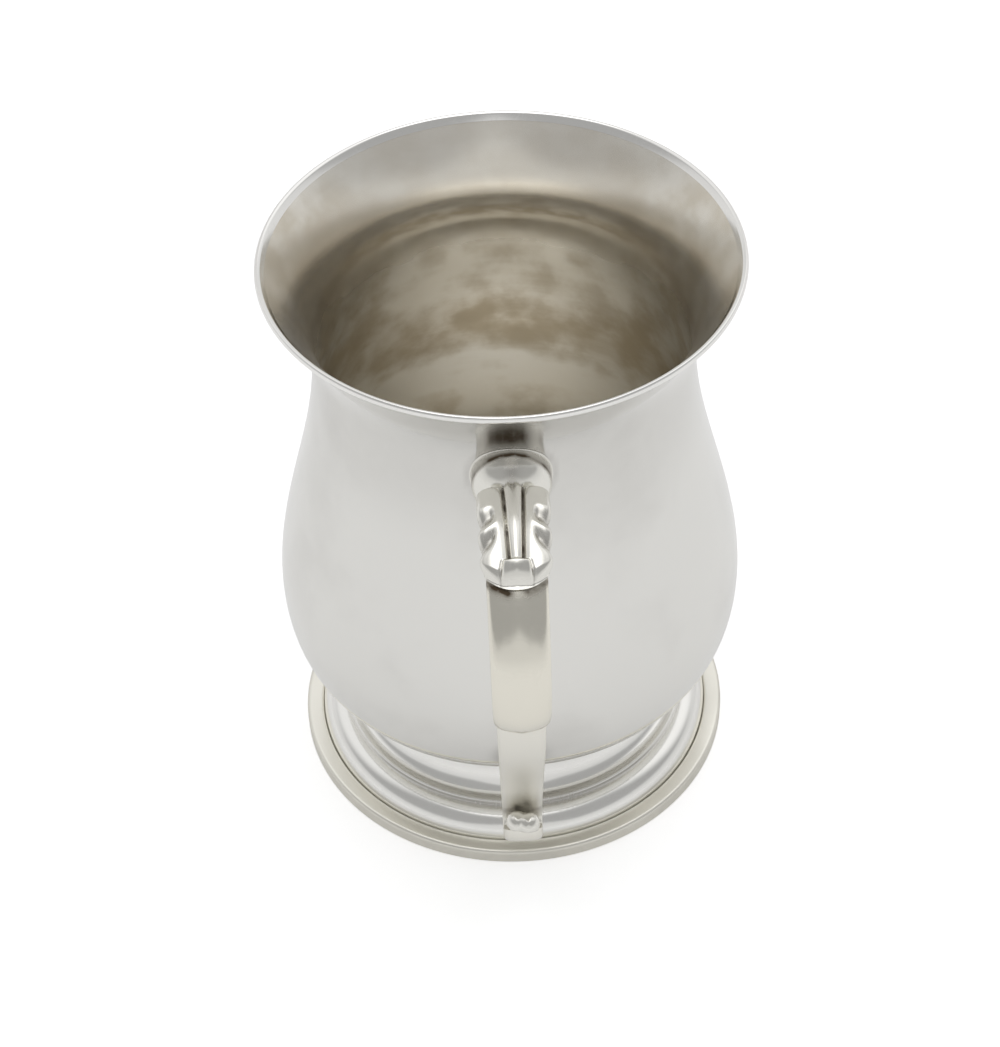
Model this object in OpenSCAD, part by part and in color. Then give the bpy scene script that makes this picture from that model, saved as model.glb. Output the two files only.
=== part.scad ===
// Silver pint tankard: a baluster body on a stepped foot, with a leaf-capped double-scroll handle.
// Millimetres, +Z up. The origin lies on the resting face, on the body's axis. The handle points along -Y.

/* [Body] */
// Height of the lip's top above the resting face
height = 127.8; // [122:0.1:134]
// Outer radius of the sheet at the lip
lip_r = 46.6; // [44:0.1:49]
// Outer radius of the belly at its fullest
belly_r = 48.4; // [46:0.1:50]
// Height of the fullest part of the belly
belly_z = 45.4; // [42:0.1:49]
// Outer radius of the neck at its narrowest
waist_r = 37.8; // [36:0.1:40]
// Height of the narrowest part of the neck
waist_z = 107; // [103:0.5:110]
// Thickness of the body's sheet
body_wall = 0.8; // [0.6:0.05:1.2]
// Diameter of the wire that covers the lip
rim_wire_d = 1.6; // [1.3:0.05:2.2]

/* [Foot] */
// Height of the body's bottom above the resting face
foot_h = 22.5; // [20:0.1:25]
// Radius of the foot's neck, where it meets the body
neck_r = 31; // [29:0.1:33]
// Radius of the small step between the hollow moulding and the round one
step_r = 37.4; // [36.5:0.1:38.5]
// Height of the small step's tread
step_z = 9.4; // [9:0.1:11]
// Width of the small step's tread
step_w = 1.2; // [0.8:0.1:2]
// Height of the small step's riser
step_rise = 1.25; // [0.8:0.05:2]
// Radius of the foot's lower edge, inside the foot rim
foot_edge_r = 42.6; // [41.5:0.1:44]
// Thickness of the foot's sheet
foot_wall = 0.9; // [0.7:0.05:1.2]
// Outer radius of the foot rim
foot_rim_r = 46.4; // [45.5:0.1:49]
// Height of the foot rim
foot_rim_h = 3.4; // [3:0.1:4.5]

/* [Main scroll] */
// Height of the upper socket's axis
socket_z = 105; // [101:0.5:107]
// Radius of the upper socket
socket_r = 7.5; // [6.8:0.1:8.5]
// Distance from the neck to the front of the upper socket
socket_len = 7; // [5.5:0.1:10]
// Width of the main scroll under the leaf
scroll_w = 11.4; // [10:0.1:13]
// Width of the main scroll at its lower curl
scroll_end_w = 10.4; // [9:0.1:12]
// Thickness of the main scroll
scroll_t = 5.6; // [4.8:0.1:6.4]
// Thickness of the cast walls of the scrolls
scroll_wall = 1; // [0.7:0.05:1.1]
// Distance from the socket to the outermost part of the main scroll's centre line
scroll_reach = 29; // [26:0.1:33]
// Height of the socket's axis above the outermost part of the main scroll
scroll_drop = 21; // [19:0.1:25]
// Height of the outermost part of the main scroll above the bottom of its curl
curl_drop = 10; // [9:0.1:12]
// Length of the leaf along the main scroll
leaf_len = 19.6; // [17:0.1:22]
// Height of the leaf's rolled tip over its web
leaf_t = 2.4; // [1.6:0.1:2.8]

/* [Lower scroll] */
// Width of the lower scroll where it leaves the main scroll
tail_w = 9.4; // [8:0.1:10.4]
// Width of the lower scroll at its curled end
tail_end_w = 7.8; // [7:0.1:9]
// Thickness of the lower scroll
tail_t = 3.2; // [3:0.1:3.8]
// Height of the middle of the tail's curl
tail_z = 26; // [24:0.1:28]
// Distance from the belly to the middle of the tail's curl
tail_gap = 7.6; // [7:0.1:11]
// Height of the lower socket's axis
boss_z = 36; // [34:0.1:38]
// Radius of the lower socket
boss_r = 3.2; // [2.6:0.1:3.8]
// Radius of each lobe of the pellet on the tail's end
pellet_r = 2.35; // [1.6:0.05:2.4]

/* [Hidden] */
$fn = 96;

// Thickness of a soldered seam
seam = 0.05;
// Clearance of a piece laid on, or pushed into, a cast one
cast_seam = 0.15;
silver = [0.80, 0.79, 0.77];
shade_silver = [0.70, 0.69, 0.66];

// Curves
function mix(a, b, t) = a + (b - a) * t;
function clamp01(t) = min(1, max(0, t));
function smooth(t) = let (c = clamp01(t)) c * c * (3 - 2 * c);
function bezier(p, t) = p[0] * pow(1 - t, 3) + 3 * p[1] * t * pow(1 - t, 2) + 3 * p[2] * t * t * (1 - t)
    + p[3] * pow(t, 3);
function bezier_dir(p, t) = let (d = (p[1] - p[0]) * pow(1 - t, 2) + 2 * (p[2] - p[1]) * t * (1 - t)
    + (p[3] - p[2]) * t * t) d / norm(d);
function left_of(d) = [-d[1], d[0]];
function reversed(list) = [for (i = [len(list) - 1:-1:0]) list[i]];

// Body profile, as [radius, height] from the bottom to the lip
low_swell = 12.2;
low_rise = 0.1;
low_turn = 14.1;
belly_turn = 18.5;
neck_turn = 23.2;
flare_turn = 8;
flare_in = 4.6;
flare_down = 6;
flare_dir = [flare_in, flare_down] / norm([flare_in, flare_down]);
profile_steps = 12;
// The sheet's edge at the lip, and the middle of that edge, which is the centre of the rim wire
lip_z = height - rim_wire_d / 2 - body_wall / 2 * left_of(flare_dir)[1];
lip = [lip_r, lip_z];
lip_mid = lip + body_wall / 2 * left_of(flare_dir);
low_curve = [[neck_r, foot_h], [neck_r + low_swell, foot_h + low_rise * low_swell],
    [belly_r, belly_z - low_turn], [belly_r, belly_z]];
mid_curve = [[belly_r, belly_z], [belly_r, belly_z + belly_turn], [waist_r, waist_z - neck_turn],
    [waist_r, waist_z]];
flare_curve = [[waist_r, waist_z], [waist_r, waist_z + flare_turn], lip - [flare_in, flare_down], lip];
body_curves = [low_curve, mid_curve, flare_curve];

function body_profile(inset) = [for (k = [0:2], i = [(k == 0 ? 0 : 1):profile_steps])
    let (t = i / profile_steps) bezier(body_curves[k], t) + inset * left_of(bezier_dir(body_curves[k], t))];

// Everything inside the body's outer face, swollen by grow
module body_solid(grow) {
    skin = body_profile(-grow);
    rotate_extrude()
        polygon(concat([[0, foot_h - grow]], skin, [[0, skin[len(skin) - 1][1]]]));
}

module body() {
    color(silver)
        rotate_extrude()
            polygon(concat([[0, foot_h]], body_profile(0), reversed(body_profile(body_wall)),
                [[0, foot_h + body_wall]]));
}

// The lip stands in a slot on the underside of the wire
module rim_wire() {
    slot_depth = rim_wire_d * flare_dir;
    slot_side = (body_wall / 2 + seam) * left_of(flare_dir);
    color(silver)
        rotate_extrude()
            difference() {
                translate(lip_mid)
                    circle(r = rim_wire_d / 2, $fn = 48);
                polygon([lip_mid + seam * flare_dir - slot_side, lip_mid + seam * flare_dir + slot_side,
                    lip_mid - slot_depth + slot_side, lip_mid - slot_depth - slot_side]);
            }
}

// Foot
foot_top = foot_h - seam;
rebate_z = 1.3;
flange_w = 3.5;
round_sink = 0.45;
moulding_steps = 14;
hollow_a = step_r - step_w - neck_r;
hollow_b = foot_top - step_z;
round_top = step_z - step_rise;
round_base = foot_rim_h - round_sink;
foot_skin = concat(
    [for (i = [0:moulding_steps]) let (a = 90 * i / moulding_steps)
        [step_r - step_w - hollow_a * cos(a), foot_top - hollow_b * sin(a)]],
    [[step_r, step_z]],
    [for (i = [0:moulding_steps]) let (a = 90 * i / moulding_steps)
        [mix(step_r, foot_edge_r, sin(a)), mix(round_base, round_top, cos(a))]]);

module foot() {
    inside = [for (p = reversed(foot_skin)) p - [foot_wall, foot_wall]];
    color(silver)
        rotate_extrude()
            polygon(concat(foot_skin,
                [[foot_edge_r, rebate_z], [foot_edge_r - foot_wall, rebate_z]], inside,
                [[neck_r - flange_w, foot_top - foot_wall], [neck_r - flange_w, foot_top]]));
}

// The foot's lower edge stands in the rim's inner rebate
module foot_rim() {
    rest_chamfer = 0.3;
    groove = 0.4;
    shoulder = 0.9;
    shoulder_steps = 6;
    land_w = 2;
    seat_r = foot_edge_r + seam;
    in_r = foot_edge_r - land_w;
    color(shade_silver)
        rotate_extrude()
            polygon(concat([[in_r, 0], [foot_rim_r - rest_chamfer, 0], [foot_rim_r, rest_chamfer]],
                [for (i = [0:shoulder_steps]) let (a = 90 * i / shoulder_steps)
                    [foot_rim_r - shoulder * (1 - cos(a)), foot_rim_h - shoulder * (1 - sin(a))]],
                [[seat_r + groove, foot_rim_h], [seat_r, foot_rim_h - groove], [seat_r, rebate_z - seam],
                    [in_r, rebate_z - seam]]));
}

// Upper socket: a drum on the neck with a domed front, bored for the root of the handle
root_u = waist_r + socket_len;
tenon_r = 3.4;
tenon_len = 3;
dome_len = 5.8;

// Turns a shape made along +Z so that it points along -Y at height z
module outward(z) {
    translate([0, 0, z])
        rotate([90, 0, 0])
            children();
}

module upper_socket() {
    dome_steps = 12;
    bore_r = tenon_r + seam;
    dome_end = acos(bore_r / socket_r);
    dome_u = root_u - dome_len * sin(dome_end);
    color(silver)
        difference() {
            outward(socket_z)
                rotate_extrude()
                    polygon(concat([[0, waist_r - socket_len], [socket_r, waist_r - socket_len]],
                        [for (i = [0:dome_steps]) let (a = dome_end * i / dome_steps)
                            [socket_r * cos(a), dome_u + dome_len * sin(a)]],
                        [[0, root_u]]));
            body_solid(seam);
            outward(socket_z)
                translate([0, 0, root_u - tenon_len - seam])
                    cylinder(r = bore_r, h = tenon_len + socket_len);
        }
}

// A scroll's half section, from the middle of its outer face round to the middle of its inner face.
// s = [half width, outer thickness, inner thickness, squareness, height of the outer face's middle ridge]
// The powers of a square section's faces and sides: 1 is round, and 0 would be a sharp corner
outer_power = 0.28;
inner_power = 0.75;
side_power = 0.45;
function half_section(s, count) = [for (j = [0:count]) section_point(s, 180 * j / count)];
function section_point(s, a) = let (
    c = cos(a),
    e = mix(1, c > 0 ? outer_power : inner_power, s[3]),
    x = s[0] * pow(max(0, sin(abs(a))), mix(1, side_power, s[3])))
    [x * (a < 0 ? -1 : 1), c > 0 ? s[1] * pow(c, e) + s[4] * (1 - x / s[0]) : -s[2] * pow(-c, e)];
function thinner(s, wall) = [s[0] - wall, s[1] - wall, s[2] - wall, s[3], s[4]];

// A station = [place as [u, z], direction, section]; u is measured from the body's axis towards the handle
function placed(st, q) = let (p = st[0] + q[1] * left_of(st[1])) [q[0], -p[0], p[1]];

// Half of a hollow scroll on the +X side of its middle plane. The hollow runs from station h0 to h1.
module half_scroll(stations, h0, h1, count) {
    last = len(stations) - 1;
    row = count + 1;
    skin = [for (st = stations) each [for (q = half_section(st[2], count)) placed(st, q)]];
    hollow = [for (i = [h0:h1])
        each [for (q = half_section(thinner(stations[i][2], scroll_wall), count)) placed(stations[i], q)]];
    base = len(skin);
    function o(i, j) = i * row + j;
    function h(i, j) = base + (i - h0) * row + j;
    function quad(a, b, c, d) = [[a, c, b], [a, d, c]];
    polyhedron(concat(skin, hollow), concat(
        [for (i = [0:last - 1], j = [0:count - 1])
            each quad(o(i, j), o(i + 1, j), o(i + 1, j + 1), o(i, j + 1))],
        [for (i = [h0:h1 - 1], j = [0:count - 1])
            each quad(h(i, j), h(i, j + 1), h(i + 1, j + 1), h(i + 1, j))],
        [for (i = [h0:h1 - 1]) each concat(
            quad(o(i, 0), h(i, 0), h(i + 1, 0), o(i + 1, 0)),
            quad(h(i, count), o(i, count), o(i + 1, count), h(i + 1, count)))],
        [for (i = [0:last - 1]) if (i < h0 - 1 || i > h1)
            each quad(o(i, 0), o(i, count), o(i + 1, count), o(i + 1, 0))],
        h0 == 0
            ? [for (j = [0:count - 1]) each quad(o(0, j), o(0, j + 1), h(0, j + 1), h(0, j))]
            : concat([[for (j = [count:-1:0]) o(0, j)], [for (j = [0:count]) h(h0, j)]],
                let (a = o(h0 - 1, 0)) [[a, o(h0, count), o(h0 - 1, count)], [a, h(h0, count), o(h0, count)],
                    [a, h(h0, 0), h(h0, count)], [a, o(h0, 0), h(h0, 0)]]),
        h1 == last
            ? [for (j = [0:count - 1]) each quad(o(last, j + 1), o(last, j), h(last, j), h(last, j + 1))]
            : concat([[for (j = [0:count]) o(last, j)], [for (j = [count:-1:0]) h(h1, j)]],
                let (a = o(h1 + 1, 0)) [[a, h(h1, 0), o(h1, 0)], [a, h(h1, count), h(h1, 0)],
                    [a, o(h1, count), h(h1, count)], [a, o(h1 + 1, count), o(h1, count)]])));
}

// Main scroll: out of the socket, over the top, down past its outermost part and round into a closing curl
root_lead = 0.5;
root = [root_u + root_lead, socket_z];
crown = [root_u + scroll_reach, socket_z - scroll_drop];
curl_in = 7;
curl_r = 4.4;
curl_close = 0.5;
curl_turn = 205;
curl_base = crown + [-curl_in, -curl_drop];
curl_mid = curl_base + [0, curl_r];
root_pull = [10, 2.6];
crown_pull = 14.5;
down_pull = 5.6;
curl_pull = 4.2;
over_curve = [root, root + root_pull, crown + [0, crown_pull], crown];
down_curve = [crown, crown - [0, down_pull], curl_base + [curl_pull, 0], curl_base];
over_steps = 24;
turn_steps = 10;
curl_steps = 16;
section_count = 12;
ridge = 0.7;
// Squareness of the scroll's section in its curl, where 1 is that of the strap and 0 is round
curl_square = 0.25;
// The curl's thickness and width at its end, how soon it thins, and how blunt and how narrow its tip is
curl_thin = 0.4;
curl_narrow = 0.8;
thin_rate = 1.4;
tip_part = 0.1;
tip_blunt = 0.25;
tip_narrow = 0.4;
// The scroll's width at its root, and the share of the first run over which it widens
root_narrow = 0.95;
widen_part = 0.2;

// Rounds off the last part of a run: 1 before it, falling to a small blunt end
function tip_round(f) = let (e = clamp01((f - 1 + tip_part) / tip_part)) max(tip_blunt, sqrt(1 - e * e));
function main_section(w, thin, square) = let (t = scroll_t / 2 * thin) [w / 2, t, t, square, ridge * thin];
function curl_station(f) = let (a = 270 - curl_turn * f, r = curl_r * mix(1, curl_close, f))
    [curl_mid + r * [cos(a), sin(a)], [sin(a), -cos(a)],
        main_section(scroll_end_w * mix(1, curl_narrow, f) * mix(1, tip_round(f), tip_narrow),
            mix(1, curl_thin, smooth(f * thin_rate)) * tip_round(f), curl_square)];
function run_station(curve, f, w, square) = [bezier(curve, f), bezier_dir(curve, f),
    main_section(w, 1, square)];
// Runs over t = 0 to 1 (over the top), 1 to 2 (down) and 2 to 3 (the curl)
function main_station(t) = t >= 2 ? curl_station(t - 2)
    : let (w = mix(scroll_w, scroll_end_w, t / 2) * mix(root_narrow, 1, smooth(t / widen_part)))
        t >= 1 ? run_station(down_curve, t - 1, w, mix(1, curl_square, smooth(t - 1)))
            : run_station(over_curve, t, w, 1);

tenon_section = [tenon_r, tenon_r, tenon_r, 0, 0];
main_stations = concat(
    [[[root_u - tenon_len, socket_z], [1, 0], tenon_section], [[root_u, socket_z], [1, 0], tenon_section]],
    [for (i = [0:over_steps]) main_station(i / over_steps)],
    [for (i = [1:turn_steps]) main_station(1 + i / turn_steps)],
    [for (i = [1:curl_steps]) main_station(2 + i / curl_steps)]);
main_hollow_end = 2 + over_steps + turn_steps;

module upper_scroll_right() {
    color(silver)
        half_scroll(main_stations, 0, main_hollow_end, section_count);
}

module upper_scroll_left() {
    color(silver)
        mirror([1, 0, 0])
            half_scroll(main_stations, 0, main_hollow_end, section_count);
}

// Acanthus leaf laid over the main scroll: a midrib between two grooves, three lobes a side parted by
// slanting valleys, and a tip rolled over into a tongue. Runs are measured along the scroll from its root,
// and widths out from its middle.
leaf_rows = 40;
leaf_cols = 28;
leaf_edge_t = 0.4;
// Where the leaf starts in the middle, and how much farther out at the sides
leaf_start = 0.3;
root_bow = 1.2;
// Degrees round the scroll's section that the leaf covers, and how its columns crowd towards the middle
leaf_wrap = 90;
fan_power = 2.26;
// How far the tip stands off the scroll, and the share of the length at which it starts to lift
leaf_lift = 0.4;
lift_start = 0.7;
// Half width of the midrib at the root and at the tip, how far its round side reaches, and its height
rib_root = 1.5;
rib_tip = 0.95;
rib_side = 1.15;
rib_high = 1.4;
// Channel that splits the midrib's root: its half width, its depth and the share of the length it fades over
channel_half = 0.5;
channel_depth = 0.5;
channel_at = 0.33;
// Distance from the midrib to the groove's middle, the groove's half width and its depth as a share
groove_out = 0.25;
groove_half = 0.38;
groove_depth = 0.9;
// Shares of the length at which the valleys leave the midrib, the sides are notched and the tongue starts
valley_at = [0.31, 0.485];
notch_at = [0.4, 0.665];
tongue_at = 0.74;
// Height of the lobes, how far they reach beyond the scroll's side, and the power of their round sides
lobe_high = 1.3;
lobe_over = 0.6;
lobe_edge = scroll_w / 2 + lobe_over;
lobe_power = 3.5;
// The valleys' runs, slants, start, fading-in, half width and depth
valley_runs = leaf_len * valley_at;
valley_slants = [0.5, 0.95];
valley_from = 2.2;
valley_fade = 0.8;
valley_half = 1.05;
valley_depth = 0.7;
// Notches in the sides: their runs, half width and depth as a share of the leaf's half width
notch_runs = leaf_len * notch_at;
notch_half = 0.9;
notch_depth = 0.12;
// The tongue: its start, crest and half width at its top and end, its softened edge, the radius of its round
// top, the lip left at its foot and the power of its front
tongue_start = leaf_len * tongue_at;
tongue_rise = 0.6;
tongue_top_half = 1.7;
tongue_end_half = 2.7;
tongue_soft = 0.5;
tongue_round = 3.6;
tongue_lip = 0.7;
tongue_power = 1.15;
// Share of the half width beyond which the faces round down to the edge
edge_from = 0.6;
// Length of the last lobes' round fronts, the lip left at their foot and the power that rounds them
front_len = 3;
front_lip = 0.4;
front_power = 1.6;
// How far the leaf's end bows back at the sides, as a share of its length, and the power of that bow
end_bow = 0.24;
bow_power = 2.2;

function bell(x, half) = exp(-pow(x / half, 2));
function round_top(x, half) = sqrt(max(0, 1 - pow(x / half, 2)));
function over_run(i) = i == 0 ? 0
    : over_run(i - 1) + norm(bezier(over_curve, i / over_steps) - bezier(over_curve, (i - 1) / over_steps));
over_table = [for (i = [0:over_steps]) [over_run(i), i / over_steps]];

// A front face that falls from its crest to its foot
function fall(run, crest, foot, power) = 1 - pow(clamp01((run - crest) / (foot - crest)), power);
function valley(run, x, k) = bell(run - valley_runs[k] - valley_slants[k] * (x - valley_from), valley_half);
function lobe_height(run, end, x, inner, rib) = let (
    across = abs((2 * x - inner - lobe_edge) / (lobe_edge - inner)),
    hollow = max(valley(run, x, 0), valley(run, x, 1)) * smooth((x - rib) / valley_fade))
    lobe_high * sqrt(max(0, 1 - pow(across, lobe_power))) * (1 - valley_depth * hollow)
        * fall(run, end - front_len, end - front_lip, front_power);
// Height of the leaf's face over its web, x out from the middle
function leaf_height(run, end, x) = let (
    rib = mix(rib_root, rib_tip, clamp01(run / tongue_start)),
    inner = rib + groove_out,
    groove = bell(x - inner, groove_half),
    channel = channel_depth * bell(x, channel_half) * (1 - smooth(run / (leaf_len * channel_at))),
    midrib = rib_high * round_top(x, rib_side * rib) - channel,
    face = (x < inner ? midrib : lobe_height(run, end, x, inner, rib)) * (1 - groove_depth * groove),
    tongue = leaf_t * fall(run, tongue_start + tongue_rise, leaf_len - tongue_lip, tongue_power)
        * round_top(x, tongue_round),
    half = mix(tongue_top_half, tongue_end_half, clamp01((run - tongue_start) / (leaf_len - tongue_start))),
    on_tongue = smooth((half - x + tongue_soft / 2) / tongue_soft)
        * smooth((run - tongue_start) / tongue_rise))
    mix(face, tongue, on_tongue);

function leaf_point(i, j, top) = let (
    v = 2 * j / leaf_cols - 1,
    a = abs(v),
    end = leaf_len * (1 - end_bow * pow(a, bow_power)),
    run = mix(leaf_start + root_bow * pow(a, 2), end, i / leaf_rows),
    st = main_station(lookup(run, over_table)),
    notch = notch_depth * (bell(run - notch_runs[0], notch_half) + bell(run - notch_runs[1], notch_half)),
    angle = leaf_wrap * pow(a * (1 - notch), fan_power) * sign(v),
    x = abs(section_point(st[2], angle)[0]),
    face = leaf_height(run, end, x) * round_top(max(0, a - edge_from), 1 - edge_from),
    grow = cast_seam + (top ? leaf_edge_t + face : 0),
    lift = leaf_lift * pow(clamp01((run / leaf_len - lift_start) / (1 - lift_start)), 2))
    placed(st, section_point(thinner(st[2], -grow), angle) + [0, lift]);

module leaf_cap() {
    row = leaf_cols + 1;
    under = (leaf_rows + 1) * row;
    function t(i, j) = i * row + j;
    function b(i, j) = under + i * row + j;
    function quad(p, q, r, s) = [[p, r, q], [p, s, r]];
    // Each half of the face is split along its own valleys
    function face_quad(j, p, q, r, s) = 2 * j < leaf_cols ? [[p, s, q], [q, s, r]] : quad(p, q, r, s);
    color(silver)
        polyhedron([for (top = [true, false], i = [0:leaf_rows], j = [0:leaf_cols]) leaf_point(i, j, top)],
            concat(
                [for (i = [0:leaf_rows - 1], j = [0:leaf_cols - 1]) each concat(
                    face_quad(j, t(i, j), t(i + 1, j), t(i + 1, j + 1), t(i, j + 1)),
                    quad(b(i, j), b(i, j + 1), b(i + 1, j + 1), b(i + 1, j)))],
                [for (i = [0:leaf_rows - 1]) each concat(
                    quad(t(i, 0), b(i, 0), b(i + 1, 0), t(i + 1, 0)),
                    quad(t(i, leaf_cols), t(i + 1, leaf_cols), b(i + 1, leaf_cols), b(i, leaf_cols)))],
                [for (j = [0:leaf_cols - 1]) each concat(
                    quad(t(0, j), t(0, j + 1), b(0, j + 1), b(0, j)),
                    quad(t(leaf_rows, j), b(leaf_rows, j), b(leaf_rows, j + 1), t(leaf_rows, j + 1)))]));
}

// Lower scroll: from the underside of the curl down to the lower socket, then out and up into the tail
joint = main_station(2);
joint_out = left_of(joint[1]);
tail_top = joint[0] + joint_out * (joint[2][1] + joint[2][4] + cast_seam);
tail_mid = [belly_r + tail_gap, tail_z];
tail_curl_r = 2.6;
tail_curl_turn = 205;
// The straight stretch behind the lower socket: its lean, its length and its foot above the tail's curl
straight_lean = 0.3;
straight_dir = [straight_lean, 1] / norm([straight_lean, 1]);
straight_len = 8;
straight_foot = [0.7, 4.4];
straight_end = tail_mid - [tail_curl_r, 0] + straight_foot;
straight_top = straight_end + straight_len * straight_dir;
top_pull = 12;
straight_pull = 13;
bend_pull = 1.8;
drop_curve = [tail_top, tail_top + top_pull * joint_out, straight_top + straight_pull * straight_dir,
    straight_top];
bend_curve = [straight_end, straight_end - bend_pull * straight_dir, tail_mid + [-tail_curl_r, bend_pull],
    tail_mid + [-tail_curl_r, 0]];
tail_drop_steps = 14;
bend_steps = 3;
tail_curl_steps = 16;
tail_count = 10;

// How much of the taper is done at the straight stretch's top, its foot and the start of the curl
taper_top = 0.55;
taper_foot = 0.75;
taper_curl = 0.8;
// The thickness of the tail's end, as a share of the rest
tail_thin = 0.9;

function tail_section(k, thin) = let (t = tail_t / 2 * thin) [mix(tail_w, tail_end_w, k) / 2, t, t, 1, 0];
tail_stations = concat(
    [for (i = [0:tail_drop_steps]) let (t = i / tail_drop_steps)
        [bezier(drop_curve, t), bezier_dir(drop_curve, t), tail_section(taper_top * t, 1)]],
    [for (i = [0:bend_steps]) let (t = i / bend_steps)
        [bezier(bend_curve, t), bezier_dir(bend_curve, t), tail_section(mix(taper_foot, taper_curl, t), 1)]],
    [for (i = [1:tail_curl_steps]) let (f = i / tail_curl_steps, a = 180 + tail_curl_turn * f)
        [tail_mid + tail_curl_r * [cos(a), sin(a)], [-sin(a), cos(a)],
            tail_section(mix(taper_curl, 1, f), mix(1, tail_thin, f))]]);
tail_last = len(tail_stations) - 1;
tail_hollow_start = 1;

module lower_scroll_right() {
    color(silver)
        half_scroll(tail_stations, tail_hollow_start, tail_last, tail_count);
}

module lower_scroll_left() {
    color(silver)
        mirror([1, 0, 0])
            half_scroll(tail_stations, tail_hollow_start, tail_last, tail_count);
}

// Places a shape at a station of a scroll: +Z runs along the scroll and +Y out of its outer face
module at_station(st) {
    translate([0, -st[0][0], st[0][1]])
        rotate([atan2(st[1][0], st[1][1]), 0, 0])
            children();
}

// Two-lobed pellet on the tail's end; its tongue stands in the hollow of the tail
module tail_pellet() {
    lobe_apart = 0.46;
    lobe_out = 0.45;
    st = tail_stations[tail_last];
    lobe_x = lobe_apart * pellet_r;
    lobe_z = lobe_out * pellet_r;
    tongue_side = 1;
    tongue_w = tail_end_w - 2 * (scroll_wall + tongue_side);
    tongue_t = 2 * (st[2][1] - scroll_wall - cast_seam);
    tongue_len = 1.5;
    color(silver)
        at_station(st)
            union() {
                intersection() {
                    union()
                        for (side = [-1, 1])
                            translate([side * lobe_x, 0, lobe_z])
                                sphere(r = pellet_r, $fn = 48);
                    translate([-tail_w, -tail_w, seam])
                        cube([2 * tail_w, 2 * tail_w, tail_w]);
                }
                translate([-tongue_w / 2, -tongue_t / 2, -tongue_len])
                    cube([tongue_w, tongue_t, tongue_len + pellet_r / 2]);
            }
}

// Lower socket: a waisted boss between the belly and the flat back of the lower scroll
module lower_socket() {
    waist_in = 0.7;
    waist_sink = 1.2;
    back = straight_end + straight_dir * (boss_z - straight_end[1]) / straight_dir[1];
    boss_in = belly_r - 2 * boss_r;
    waist_u = [belly_r - waist_sink, back[0] - tail_t / 2];
    boss_out = back[0] + tail_t;
    boss_steps = 10;
    color(silver)
        difference() {
            outward(boss_z)
                rotate_extrude()
                    polygon(concat([[0, boss_in], [boss_r, boss_in]],
                        [for (i = [0:boss_steps]) let (f = i / boss_steps)
                            [boss_r - waist_in * sin(180 * f), mix(waist_u[0], waist_u[1], f)]],
                        [[boss_r, boss_out], [0, boss_out]]));
            body_solid(seam);
            at_station([back, -straight_dir])
                translate([-tail_w, -(tail_t / 2 + cast_seam), -2 * tail_w])
                    cube([2 * tail_w, 4 * tail_w, 4 * tail_w]);
        }
}

body();
rim_wire();
foot();
foot_rim();
upper_socket();
upper_scroll_left();
upper_scroll_right();
leaf_cap();
lower_scroll_left();
lower_scroll_right();
tail_pellet();
lower_socket();
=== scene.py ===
"""Looks of the silver pint tankard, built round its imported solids.

Shapes are worked out in millimetres, with the sizes that the solids have, and turned into the frame's metres
when a piece is made. The handle points along -Y and the mug stands on z = 0."""

import math

import bmesh
import bpy
import numpy as np
from mathutils import Matrix, Vector


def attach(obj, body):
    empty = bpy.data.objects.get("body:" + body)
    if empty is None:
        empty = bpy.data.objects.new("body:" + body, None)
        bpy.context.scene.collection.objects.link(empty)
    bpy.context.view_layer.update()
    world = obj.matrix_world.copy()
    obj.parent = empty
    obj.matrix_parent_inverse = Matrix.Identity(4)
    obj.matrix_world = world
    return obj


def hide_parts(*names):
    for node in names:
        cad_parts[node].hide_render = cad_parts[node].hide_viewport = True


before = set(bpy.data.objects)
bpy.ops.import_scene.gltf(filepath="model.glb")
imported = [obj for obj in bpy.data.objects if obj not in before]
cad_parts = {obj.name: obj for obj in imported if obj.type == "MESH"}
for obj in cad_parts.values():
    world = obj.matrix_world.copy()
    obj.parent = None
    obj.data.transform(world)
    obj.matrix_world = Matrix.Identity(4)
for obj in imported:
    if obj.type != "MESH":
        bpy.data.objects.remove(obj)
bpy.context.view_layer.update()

MM = 0.001

# Body
HEIGHT = 127.8
LIP_R = 46.6
BELLY_R, BELLY_Z = 48.4, 45.4
WAIST_R, WAIST_Z = 37.8, 107.0
BODY_WALL = 0.8
RIM_WIRE_D = 1.6
RIM_FEATHER, RIM_FLUSH = 0.4, 0.52
LOW_SWELL, LOW_RISE, LOW_TURN = 12.2, 0.1, 14.1
BELLY_TURN, NECK_TURN, FLARE_TURN = 18.5, 23.2, 8.0
FLARE_IN, FLARE_DOWN = 4.6, 6.0

# Foot
FOOT_H = 22.5
NECK_R = 31.0
STEP_R, STEP_Z, STEP_W, STEP_RISE = 37.4, 9.4, 1.2, 1.25
FOOT_EDGE_R, FOOT_WALL = 42.6, 0.9
FOOT_RIM_R, FOOT_RIM_H = 46.4, 3.4
REBATE_Z, FLANGE_W, ROUND_SINK = 1.3, 3.5, 0.45
REST_CHAMFER, RIM_GROOVE, RIM_SHOULDER, RIM_LAND = 0.3, 0.4, 0.9, 2.0
STEP_ROUND, RIM_ROUND, ROUND_SHARE = 0.35, 0.2, 0.45

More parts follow.
